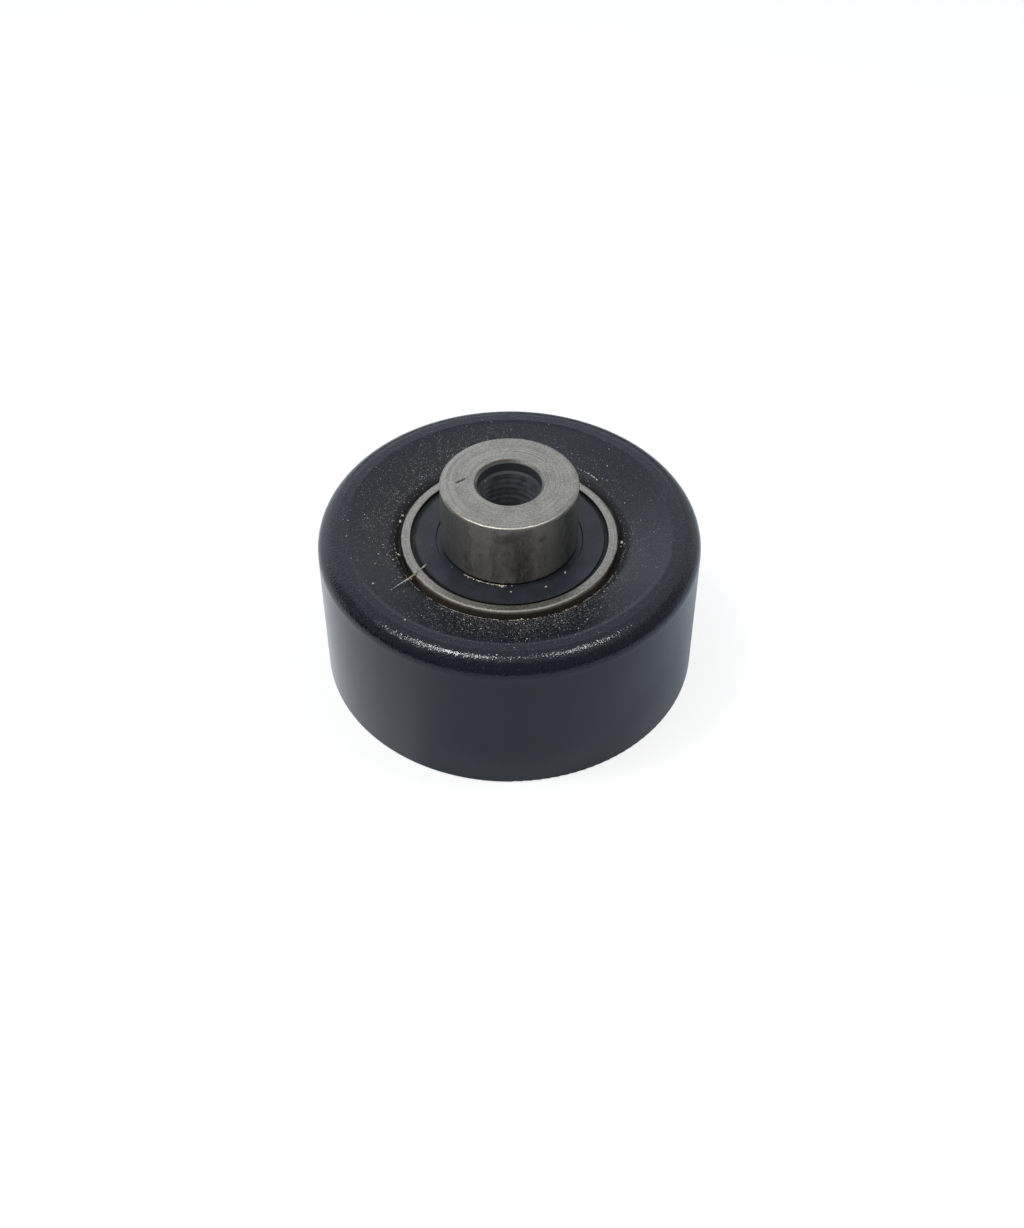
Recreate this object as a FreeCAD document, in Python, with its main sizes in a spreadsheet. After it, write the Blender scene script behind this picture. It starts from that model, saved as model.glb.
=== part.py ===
# Idler pulley: a drawn steel shell on a sealed ball bearing, and a threaded spacer bush pressed into that.
# The axis is Z, the origin lies on it in the plane of the trimmed rim edge, and the bush stands up along +Z.
import FreeCAD, Part
import math
import os
import Sketcher

SIZES = (
    ("rim_diameter", 70, "outside of the running face"),
    ("rim_width", 31, "trimmed edge to the flat land at the rim"),
    ("sheet_thickness", 2, "steel sheet that the shell is drawn from"),
    ("land_reach", 5.35, "running face in to the edge of the flat land, where the web begins"),
    ("shoulder_bend", 1.5, "inside radius of the bend from running face to land"),
    ("land_bend", 0.5, "inside radius of the bend from land to web"),
    ("mouth_bend", 1, "inside radius of the bend from web to hub"),
    ("floor_bend", 0.5, "inside radius of the bend from hub to its stop flange"),
    ("web_dish", 20, "slope of the web down towards the hub, in degrees"),
    ("edge_break", 0.4, "rounding of the shell's trimmed edges"),
    ("stop_opening", 34, "hole in the stop flange under the bearing"),
    ("bearing_recess", 2.5, "flat land down to the bearing's face"),
    ("bearing_outside", 40, "bearing outside diameter, also the hub seat"),
    ("bearing_bore", 17, "bearing bore, also the bush shank"),
    ("bearing_width", 12, "width of both rings"),
    ("ring_corner", 0.6, "corner rounding of both rings"),
    ("ring_face", 1.85, "width of the outer ring's face round a seal"),
    ("outer_reach", 2.45, "pitch circle out to the shoulders of the outer raceway"),
    ("inner_reach", 2, "pitch circle in to the shoulders of the inner raceway"),
    ("ball_diameter", 6.747, "balls"),
    ("ball_count", 8, "balls, pockets and rivets"),
    ("raceway_share", 0.52, "raceway radius as a share of the ball diameter"),
    ("ball_play", 0.05, "clearance between a ball and each raceway"),
    ("cage_sheet", 0.6, "sheet that each half of the cage is pressed from"),
    ("cage_width", 3, "radial width of the cage"),
    ("pocket_play", 0.08, "clearance between a ball and its pocket"),
    ("rivet_shank", 1.2, "rivet shank diameter, also its hole"),
    ("rivet_head", 2, "rivet head diameter"),
    ("rivet_rise", 0.5, "height of a rivet head"),
    ("seal_undercut", 0.3, "radial depth of the groove that holds a seal's bead"),
    ("bead_play", 0.1, "clearance round a seal's bead in that groove"),
    ("seal_depth", 1.3, "ring face down to the floor of a seal's seat"),
    ("bead_depth", 0.85, "ring face down to the top of a seal's bead"),
    ("seal_sink", 0.45, "ring face down to the face of a seal"),
    ("seal_gap", 0.75, "gap between the outer ring's face and a seal's raised face"),
    ("lip_reach", 1.15, "inner ring out to a seal's raised face, the width of its lip"),
    ("lip_step", 0.25, "drop from a seal's raised face to its lip"),
    ("lip_play", 0.1, "clearance between a seal's lip and the inner ring"),
    ("seal_rounding", 0.15, "rounding of a seal's edges"),
    ("collar_diameter", 25, "bush collar"),
    ("collar_length", 12.7, "bush collar above the bearing's face"),
    ("collar_rounding", 0.6, "rounding round the collar's face"),
    ("shank_setback", 0.4, "bush shank short of the bearing's lower face"),
    ("shank_chamfer", 0.8, "lead chamfer on the shank"),
    ("thread_minor", 10.8, "bore of the bush, an M12 x 1.25 thread's minor diameter"),
    ("counterbore_reach", 0.4, "thread's minor radius out to the plain counterbore at the collar's face"),
    ("counterbore_depth", 2.3, "collar's face down to the cone that ends the counterbore"),
    ("countersink", 0.5, "width and depth of the countersink at each end of the bore"),
)

doc = FreeCAD.newDocument("idler_pulley")
sheet = doc.addObject("Spreadsheet::Sheet", "sizes")
for row, (alias, value, meaning) in enumerate(SIZES, start=1):
    sheet.set(f"A{row}", meaning)
    sheet.set(f"B{row}", str(value))
    sheet.setAlias(f"B{row}", alias)
doc.recompute()

# Places that several pieces share, as expressions over the sheet
BEARING_TOP = "(sizes.rim_width - sizes.bearing_recess)"
BEARING_BASE = f"({BEARING_TOP} - sizes.bearing_width)"
BEARING_MIDDLE = f"({BEARING_TOP} - sizes.bearing_width / 2)"
PITCH_RADIUS = "((sizes.bearing_outside + sizes.bearing_bore) / 4)"
OUTER_LAND = f"({PITCH_RADIUS} + sizes.outer_reach)"
INNER_LAND = f"({PITCH_RADIUS} - sizes.inner_reach)"
SEAL_SEAT = "(sizes.bearing_outside / 2 - sizes.ring_face)"
BALL_RADIUS = "(sizes.ball_diameter / 2)"
RACEWAY_RADIUS = "(sizes.ball_diameter * sizes.raceway_share)"
ZERO = "0"
SQUARE = ZERO

ball_count = int(sheet.ball_count)


def number(expression):
    return float(sheet.evalExpression(expression.replace("sizes.", "")))


def origin_plane(body, role):
    return next(item for item in body.Origin.OriginFeatures if item.Role == role)


def half_section_sketch(body, name):
    """An empty sketch whose X is the radius and whose Y is the height."""
    sketch = body.newObject("Sketcher::SketchObject", name)
    sketch.AttachmentSupport = [(origin_plane(body, "XZ_Plane"), "")]
    sketch.MapMode = "FlatFace"
    return sketch


def bind(sketch, name, constraint, expression):
    index = sketch.addConstraint(constraint)
    sketch.renameConstraint(index, name)
    sketch.setExpression(f"Constraints.{name}", expression)


def place_point(sketch, label, geometry, position, radius, height):
    """Hold a point at a radius and a height above the origin."""
    bind(sketch, f"radius_{label}",
         Sketcher.Constraint("DistanceX", -1, 1, geometry, position, number(radius)), radius)
    if number(height) == 0:
        sketch.addConstraint(Sketcher.Constraint("PointOnObject", geometry, position, -1))
    else:
        bind(sketch, f"height_{label}",
             Sketcher.Constraint("DistanceY", -1, 1, geometry, position, number(height)), height)


def corner_arc(before, corner, after, rounding):
    """Where an arc that rounds a corner starts, ends and is centred."""
    towards = (before - corner).normalize()
    away = (after - corner).normalize()
    half_angle = towards.getAngle(away) / 2
    reach = rounding / math.tan(half_angle)
    centre = corner + (towards + away).normalize() * (rounding / math.sin(half_angle))
    return corner + towards * reach, corner + away * reach, centre


def draw_corner(sketch, start, end, centre, rounding):
    """Add the arc of a rounded corner. Returns it with its positions at start and end."""
    first = math.atan2(start.y - centre.y, start.x - centre.x)
    last = math.atan2(end.y - centre.y, end.x - centre.x)
    circle = Part.Circle(centre, FreeCAD.Vector(0, 0, 1), rounding)
    if (last - first) % math.tau < math.pi:
        return sketch.addGeometry(Part.ArcOfCircle(circle, first, last)), 1, 2
    return sketch.addGeometry(Part.ArcOfCircle(circle, last, first)), 2, 1


def revolve_section(body, name, corners):
    """Revolve a closed half section. Each corner is (radius, height, rounding) in expressions."""
    sketch = half_section_sketch(body, f"{name}_section")
    points = [FreeCAD.Vector(number(radius), number(height), 0) for radius, height, _ in corners]
    roundings = [number(rounding) for _, _, rounding in corners]
    count = len(corners)
    arcs = {}
    for i in range(count):
        if roundings[i] > 0:
            arcs[i] = corner_arc(points[i - 1], points[i], points[(i + 1) % count], roundings[i])
    lines = []
    for i in range(count):
        after = (i + 1) % count
        start = arcs[i][1] if i in arcs else points[i]
        end = arcs[after][0] if after in arcs else points[after]
        lines.append(sketch.addGeometry(Part.LineSegment(start, end)))
    for i, (radius, height, rounding) in enumerate(corners):
        if i not in arcs:
            sketch.addConstraint(Sketcher.Constraint("Coincident", lines[i - 1], 2, lines[i], 1))
            place_point(sketch, i, lines[i], 1, radius, height)
            continue
        arc, at_start, at_end = draw_corner(sketch, *arcs[i], roundings[i])
        sketch.addConstraint(Sketcher.Constraint("Tangent", lines[i - 1], 2, arc, at_start))
        sketch.addConstraint(Sketcher.Constraint("Tangent", arc, at_end, lines[i], 1))
        bind(sketch, f"rounding_{i}", Sketcher.Constraint("Radius", arc, roundings[i]), rounding)
        corner = sketch.addGeometry(Part.Point(points[i]), True)
        sketch.addConstraint(Sketcher.Constraint("PointOnObject", corner, 1, lines[i - 1]))
        sketch.addConstraint(Sketcher.Constraint("PointOnObject", corner, 1, lines[i]))
        place_point(sketch, i, corner, 1, radius, height)
    revolution = body.newObject("PartDesign::Revolution", f"{name}_turned")
    revolution.Profile = sketch
    revolution.ReferenceAxis = (sketch, ["V_Axis"])
    revolution.Angle = 360
    doc.recompute()


def cut_raceway(body, name, centre_radius):
    """Groove a ring with a circular raceway about the bearing's middle plane."""
    before = body.Shape.Volume
    sketch = half_section_sketch(body, f"{name}_raceway_circle")
    middle = FreeCAD.Vector(number(centre_radius), number(BEARING_MIDDLE), 0)
    circle = Part.Circle(middle, FreeCAD.Vector(0, 0, 1), number(RACEWAY_RADIUS))
    geometry = sketch.addGeometry(circle)
    place_point(sketch, "centre", geometry, 3, centre_radius, BEARING_MIDDLE)
    bind(sketch, "raceway", Sketcher.Constraint("Radius", geometry, number(RACEWAY_RADIUS)), RACEWAY_RADIUS)
    groove = body.newObject("PartDesign::Groove", f"{name}_raceway")
    groove.Profile = sketch
    groove.ReferenceAxis = (sketch, ["V_Axis"])
    groove.Angle = 360
    doc.recompute()
    if body.Shape.Volume >= before:
        raise RuntimeError(f"the raceway of {name} cut nothing")


def add_primitive(kind, name, place=(ZERO, ZERO, ZERO), **sizes):
    """A Part primitive whose sizes and place are expressions over the sheet."""
    item = doc.addObject(kind, name)
    for size, expression in sizes.items():
        item.setExpression(size, expression)
    for axis, expression in zip("xyz", place):
        item.setExpression(f"Placement.Base.{axis}", expression)
    return item


def combine(kind, name, base, tool):
    item = doc.addObject(kind, name)
    item.Base = base
    item.Tool = tool
    return item


def fuse_all(name, items):
    fused = doc.addObject("Part::MultiFuse", name)
    fused.Shapes = items
    return fused


def on_pitch_circle(turns, height):
    """A place on the pitch circle, the given number of ball spacings round from X."""
    angle = f"({turns} * 360 / sizes.ball_count)"
    return (f"{PITCH_RADIUS} * cos({angle})", f"{PITCH_RADIUS} * sin({angle})", height)


def make_pulley_shell():
    """A drawn cup of even thickness: running face, flat land, dished web, hub and stop flange."""
    body = doc.addObject("PartDesign::Body", "pulley_shell")
    rim_outside = "sizes.rim_diameter / 2"
    rim_inside = f"({rim_outside} - sizes.sheet_thickness)"
    seat = "sizes.bearing_outside / 2"
    hub_outside = f"({seat} + sizes.sheet_thickness)"
    stop = "sizes.stop_opening / 2"
    land_end = f"({rim_outside} - sizes.land_reach)"
    land_end_below = f"({land_end} + sizes.sheet_thickness * tan(sizes.web_dish / 2))"
    land_underside = "(sizes.rim_width - sizes.sheet_thickness)"
    flange_underside = f"({BEARING_BASE} - sizes.sheet_thickness)"

    def web_top(radius):
        return f"(sizes.rim_width - ({land_end} - {radius}) * tan(sizes.web_dish))"

    def web_underside(radius):
        return f"({web_top(radius)} - sizes.sheet_thickness / cos(sizes.web_dish))"

    revolve_section(body, "shell", [
        (rim_outside, ZERO, "sizes.edge_break"),
        (rim_outside, "sizes.rim_width", "sizes.shoulder_bend + sizes.sheet_thickness"),
        (land_end, "sizes.rim_width", "sizes.land_bend + sizes.sheet_thickness"),
        (seat, web_top(seat), "sizes.mouth_bend + sizes.sheet_thickness"),
        (seat, BEARING_BASE, "sizes.floor_bend"),
        (stop, BEARING_BASE, "sizes.edge_break"),
        (stop, flange_underside, "sizes.edge_break"),
        (hub_outside, flange_underside, "sizes.floor_bend + sizes.sheet_thickness"),
        (hub_outside, web_underside(hub_outside), "sizes.mouth_bend"),
        (land_end_below, land_underside, "sizes.land_bend"),
        (rim_inside, land_underside, "sizes.shoulder_bend"),
        (rim_inside, ZERO, "sizes.edge_break"),
    ])
    return body


def make_outer_ring():
    """Outer ring with a raceway inside and a grooved seat for a seal at each end."""
    body = doc.addObject("PartDesign::Body", "bearing_outer_ring")
    outside = "sizes.bearing_outside / 2"
    groove = f"({SEAL_SEAT} + sizes.seal_undercut)"
    groove_top = "sizes.seal_sink"
    slope_end = f"({groove_top} + sizes.seal_undercut)"
    revolve_section(body, "outer_ring", [
        (outside, BEARING_BASE, "sizes.ring_corner"),
        (outside, BEARING_TOP, "sizes.ring_corner"),
        (SEAL_SEAT, BEARING_TOP, "sizes.seal_rounding"),
        (SEAL_SEAT, f"{BEARING_TOP} - {groove_top}", SQUARE),
        (groove, f"{BEARING_TOP} - {slope_end}", SQUARE),
        (groove, f"{BEARING_TOP} - sizes.seal_depth", SQUARE),
        (OUTER_LAND, f"{BEARING_TOP} - sizes.seal_depth", SQUARE),
        (OUTER_LAND, f"{BEARING_BASE} + sizes.seal_depth", SQUARE),
        (groove, f"{BEARING_BASE} + sizes.seal_depth", SQUARE),
        (groove, f"{BEARING_BASE} + {slope_end}", SQUARE),
        (SEAL_SEAT, f"{BEARING_BASE} + {groove_top}", SQUARE),
        (SEAL_SEAT, BEARING_BASE, "sizes.seal_rounding"),
    ])
    cut_raceway(body, "outer_ring",
                f"{PITCH_RADIUS} + {BALL_RADIUS} + sizes.ball_play - {RACEWAY_RADIUS}")
    return body


def make_inner_ring():
    """Inner ring with a raceway outside, pressed on the bush shank."""
    body = doc.addObject("PartDesign::Body", "bearing_inner_ring")
    bore = "sizes.bearing_bore / 2"
    revolve_section(body, "inner_ring", [
        (bore, BEARING_BASE, "sizes.ring_corner"),
        (INNER_LAND, BEARING_BASE, "sizes.ring_corner"),
        (INNER_LAND, BEARING_TOP, "sizes.ring_corner"),
        (bore, BEARING_TOP, "sizes.ring_corner"),
    ])
    cut_raceway(body, "inner_ring",
                f"{PITCH_RADIUS} - {BALL_RADIUS} - sizes.ball_play + {RACEWAY_RADIUS}")
    return body


def make_seal(name, depth_to_height):
    """Rubber seal: a bead snapped into the outer ring, a raised face and a thin lip at the inner ring."""
    body = doc.addObject("PartDesign::Body", name)
    bead = f"({SEAL_SEAT} + sizes.seal_undercut - sizes.bead_play)"
    face = f"({SEAL_SEAT} - sizes.seal_gap)"
    lip_start = f"({INNER_LAND} + sizes.lip_reach)"
    lip = f"({INNER_LAND} + sizes.lip_play)"
    lip_depth = "(sizes.seal_sink + sizes.lip_step)"
    section = [
        (bead, "sizes.seal_depth", "sizes.seal_rounding"),
        (bead, "sizes.bead_depth", "sizes.seal_rounding"),
        (face, "sizes.bead_depth", SQUARE),
        (face, "sizes.seal_sink", "sizes.seal_rounding"),
        (lip_start, "sizes.seal_sink", "sizes.seal_rounding"),
        (lip_start, lip_depth, SQUARE),
        (lip, lip_depth, SQUARE),
        (lip, "sizes.seal_depth", "sizes.seal_rounding"),
    ]
    revolve_section(body, name, [(radius, depth_to_height(depth), rounding)
                                 for radius, depth, rounding in section])
    return body


def make_ball(index):
    return add_primitive("Part::Sphere", f"ball_{index + 1}", on_pitch_circle(index, BEARING_MIDDLE),
                         Radius=BALL_RADIUS)


def make_cage_half(name, side):
    """One pressed half of the cage: a flat ring with a domed pocket over each ball. side is 1 or -1."""
    inside = f"{PITCH_RADIUS} - sizes.cage_width / 2"
    outside = f"{PITCH_RADIUS} + sizes.cage_width / 2"
    pocket = f"{BALL_RADIUS} + sizes.pocket_play"
    dome = f"({pocket} + sizes.cage_sheet)"
    strip_base = BEARING_MIDDLE if side > 0 else f"{BEARING_MIDDLE} - sizes.cage_sheet"
    strip = add_primitive("Part::Cylinder", f"{name}_strip", (ZERO, ZERO, strip_base),
                          Radius=outside, Height="sizes.cage_sheet")
    domes = []
    pockets = []
    holes = []
    for index in range(ball_count):
        centre = on_pitch_circle(index, BEARING_MIDDLE)
        half = add_primitive("Part::Sphere", f"{name}_dome_{index + 1}", centre, Radius=dome)
        half.Angle1 = 0 if side > 0 else -90
        half.Angle2 = 90 if side > 0 else 0
        domes.append(half)
        pockets.append(add_primitive("Part::Sphere", f"{name}_pocket_{index + 1}", centre, Radius=pocket))
        holes.append(add_primitive("Part::Cylinder", f"{name}_hole_{index + 1}",
                                   on_pitch_circle(index + 0.5, strip_base),
                                   Radius="sizes.rivet_shank / 2", Height="sizes.cage_sheet"))
    tall = (ZERO, ZERO, f"{BEARING_MIDDLE} - {dome}")
    blank = fuse_all(f"{name}_blank", [strip] + domes)
    band = add_primitive("Part::Cylinder", f"{name}_band", tall, Radius=outside, Height=f"2 * {dome}")
    middle = add_primitive("Part::Cylinder", f"{name}_middle", tall, Radius=inside, Height=f"2 * {dome}")
    trimmed = combine("Part::Common", f"{name}_trimmed", blank, band)
    opening = fuse_all(f"{name}_opening", [middle] + pockets + holes)
    return combine("Part::Cut", name, trimmed, opening)


def make_rivets(name):
    """One rivet with two domed heads in each gap between balls, all in one group."""
    head = "(sizes.rivet_head / 2)"
    dome = f"(({head} ^ 2 + sizes.rivet_rise ^ 2) / (2 * sizes.rivet_rise))"
    drop = f"({dome} - sizes.rivet_rise)"
    latitude = f"asin({drop} / {dome})"
    rivets = []
    for index in range(ball_count):
        upper = on_pitch_circle(index + 0.5, f"{BEARING_MIDDLE} + sizes.cage_sheet - {drop}")
        lower = on_pitch_circle(index + 0.5, f"{BEARING_MIDDLE} - sizes.cage_sheet + {drop}")
        foot = on_pitch_circle(index + 0.5, f"{BEARING_MIDDLE} - sizes.cage_sheet")
        shank = add_primitive("Part::Cylinder", f"{name}_shank_{index + 1}", foot,
                              Radius="sizes.rivet_shank / 2", Height="2 * sizes.cage_sheet")
        top = add_primitive("Part::Sphere", f"{name}_top_{index + 1}", upper, Radius=dome)
        top.setExpression("Angle1", latitude)
        bottom = add_primitive("Part::Sphere", f"{name}_bottom_{index + 1}", lower, Radius=dome)
        bottom.setExpression("Angle2", f"-{latitude}")
        rivets.append(fuse_all(f"{name}_{index + 1}", [shank, top, bottom]))
    group = doc.addObject("Part::Compound", name)
    group.Links = rivets
    return group


def make_spacer_bush():
    """Turned bush: a collar on the inner ring and a shank through it, threaded below a plain counterbore."""
    body = doc.addObject("PartDesign::Body", "spacer_bush")
    bore = "sizes.thread_minor / 2"
    counterbore = f"({bore} + sizes.counterbore_reach)"
    shank = "sizes.bearing_bore / 2"
    collar = "sizes.collar_diameter / 2"
    top = f"({BEARING_TOP} + sizes.collar_length)"
    foot = f"({BEARING_BASE} + sizes.shank_setback)"
    revolve_section(body, "bush", [
        (bore, f"{foot} + sizes.countersink", SQUARE),
        (f"{bore} + sizes.countersink", foot, SQUARE),
        (f"{shank} - sizes.shank_chamfer", foot, SQUARE),
        (shank, f"{foot} + sizes.shank_chamfer", SQUARE),
        (shank, BEARING_TOP, SQUARE),
        (collar, BEARING_TOP, SQUARE),
        (collar, top, "sizes.collar_rounding"),
        (f"{counterbore} + sizes.countersink", top, SQUARE),
        (counterbore, f"{top} - sizes.countersink", SQUARE),
        (counterbore, f"{top} - sizes.counterbore_depth", SQUARE),
        (bore, f"{top} - sizes.counterbore_depth - sizes.counterbore_reach", SQUARE),
    ])
    return body


sub_parts = [
    make_pulley_shell(),
    make_outer_ring(),
    make_inner_ring(),
    make_seal("upper_seal", lambda depth: f"{BEARING_TOP} - {depth}"),
    make_seal("lower_seal", lambda depth: f"{BEARING_BASE} + {depth}"),
    make_cage_half("cage_upper_half", 1),
    make_cage_half("cage_lower_half", -1),
    make_rivets("cage_rivets"),
    make_spacer_bush(),
]
sub_parts += [make_ball(index) for index in range(ball_count)]
doc.recompute()

for item in doc.Objects:
    if "Invalid" in item.State or "Error" in item.State:
        raise RuntimeError(f"{item.Label} did not build: {item.State}")
for item in sub_parts:
    if item.Shape.isNull() or not item.Shape.isValid():
        raise RuntimeError(f"{item.Label} has no valid shape")

os.makedirs("parts", exist_ok=True)
for item in sub_parts:
    item.Shape.exportStep(f"parts/{item.Label}.step")
    print(f"{item.Label}: {len(item.Shape.Solids)} solid, {item.Shape.Volume:.1f} mm3")
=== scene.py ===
"""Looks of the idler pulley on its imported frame: finishes, the bush's thread, dirt, light and camera."""

import math
import random

import bmesh
import bpy
from mathutils import Matrix, Vector, noise
from mathutils.bvhtree import BVHTree


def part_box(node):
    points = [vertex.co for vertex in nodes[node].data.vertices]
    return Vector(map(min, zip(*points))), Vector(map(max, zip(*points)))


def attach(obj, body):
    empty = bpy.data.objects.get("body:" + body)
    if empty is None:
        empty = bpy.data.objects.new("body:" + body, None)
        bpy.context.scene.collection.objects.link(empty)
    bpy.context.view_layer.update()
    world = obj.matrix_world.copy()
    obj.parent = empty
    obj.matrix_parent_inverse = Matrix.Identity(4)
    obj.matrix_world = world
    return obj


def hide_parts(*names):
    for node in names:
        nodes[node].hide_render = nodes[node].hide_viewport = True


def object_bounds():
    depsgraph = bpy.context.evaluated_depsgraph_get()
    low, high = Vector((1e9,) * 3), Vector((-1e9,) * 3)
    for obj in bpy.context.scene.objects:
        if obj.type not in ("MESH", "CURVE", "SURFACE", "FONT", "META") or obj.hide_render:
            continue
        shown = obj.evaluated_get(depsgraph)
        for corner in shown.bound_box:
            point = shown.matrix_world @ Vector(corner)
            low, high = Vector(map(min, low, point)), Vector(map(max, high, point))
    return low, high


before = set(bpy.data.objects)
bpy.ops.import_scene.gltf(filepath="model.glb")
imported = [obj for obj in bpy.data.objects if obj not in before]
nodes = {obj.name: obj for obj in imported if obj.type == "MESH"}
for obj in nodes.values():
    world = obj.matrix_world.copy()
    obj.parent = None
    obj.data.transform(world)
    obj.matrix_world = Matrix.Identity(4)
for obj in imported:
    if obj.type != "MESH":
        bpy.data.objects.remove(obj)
cad_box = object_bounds()

MM = 0.001
IMAGE_SIZE = (1024, 1228)
CAMERA_PLACE = Vector((0.0, -221.68, 234.56)) * MM
CAMERA_AIM = Vector((0.47, 0.0, 7.72)) * MM
CAMERA_LENS = 48.453
CAMERA_SENSOR = 36.0


def radii(node):
    """Smallest and largest distance of a node's vertices from the axis."""
    found = [vertex.co.xy.length for vertex in nodes[node].data.vertices]
    return min(found), max(found)


# Sizes read from the frame
RIM_RADIUS = radii("pulley_shell")[1]
LAND_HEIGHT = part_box("pulley_shell")[1].z
RING_RADIUS = radii("bearing_outer_ring")[1]
SHANK_RADIUS = radii("bearing_inner_ring")[0]
BEARING_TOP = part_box("bearing_outer_ring")[1].z
MINOR_RADIUS, COLLAR_RADIUS = radii("spacer_bush")
BUSH_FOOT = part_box("spacer_bush")[0].z
BUSH_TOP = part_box("spacer_bush")[1].z

# Sizes that the frame doesn't hold
LAND_EDGE = RIM_RADIUS - 5.35 * MM
LIP_RADIUS = 3.0 * MM
LIP_CENTRE = (RING_RADIUS + LIP_RADIUS, 25.39 * MM)
COUNTERSINK = 0.5 * MM
COUNTERBORE_REACH = 0.4 * MM
COUNTERBORE_DEPTH = 2.3 * MM
COLLAR_ROUNDING = 0.6 * MM
SHANK_CHAMFER = 0.8 * MM
THREAD_TOP = BUSH_TOP - COUNTERBORE_DEPTH - COUNTERBORE_REACH
THREAD_PITCH = 1.25 * MM
THREAD_DEPTH = 0.06 * MM


# Camera, and places found under pixels of the photograph

camera_turn = (CAMERA_AIM - CAMERA_PLACE).to_track_quat("-Z", "Y")


def add_camera():
    camera = bpy.data.cameras.new("camera")
    camera.lens = CAMERA_LENS
    camera.sensor_width = CAMERA_SENSOR
    camera.clip_start = 0.01
    camera_object = bpy.data.objects.new("camera", camera)
    bpy.context.scene.collection.objects.link(camera_object)
    camera_object.location = CAMERA_PLACE
    camera_object.rotation_euler = camera_turn.to_euler()
    bpy.context.scene.camera = camera_object


def tree_of(*names):
    """A search tree over the faces of some CAD nodes."""
    points = []
    faces = []
    for name in names:
        mesh = nodes[name].data
        first = len(points)
        points += [vertex.co.copy() for vertex in mesh.vertices]
        faces += [[first + index for index in polygon.vertices] for polygon in mesh.polygons]
    return BVHTree.FromPolygons(points, faces)


turning_top = tree_of("pulley_shell", "bearing_outer_ring", "upper_seal")
whole_top = tree_of("pulley_shell", "bearing_outer_ring", "upper_seal", "bearing_inner_ring", "spacer_bush")


def pixel_ray(column, row):
    """The direction from the camera through a pixel of the photograph."""
    scale = CAMERA_SENSOR / CAMERA_LENS / max(IMAGE_SIZE)
    across = (column - IMAGE_SIZE[0] / 2) * scale
    down = (row - IMAGE_SIZE[1] / 2) * scale
    return camera_turn @ Vector((across, -down, -1))


def under_pixel(column, row):
    """The point of the object's top that a pixel of the photograph shows, and the normal there."""
    place, normal, _, _ = whole_top.ray_cast(CAMERA_PLACE, pixel_ray(column, row))
    return place, normal


def at_height(column, row, height):
    """The point at a height that a pixel of the photograph shows."""
    ray = pixel_ray(column, row)
    return CAMERA_PLACE + ray * ((height - CAMERA_PLACE.z) / ray.z)


def under_point(x, y):
    """The point of the turning pieces' top straight below x, y, and the normal there."""
    place, normal, _, _ = turning_top.ray_cast(Vector((x, y, 0.1)), Vector((0, 0, -1)))
    return place, normal


# Materials

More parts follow.
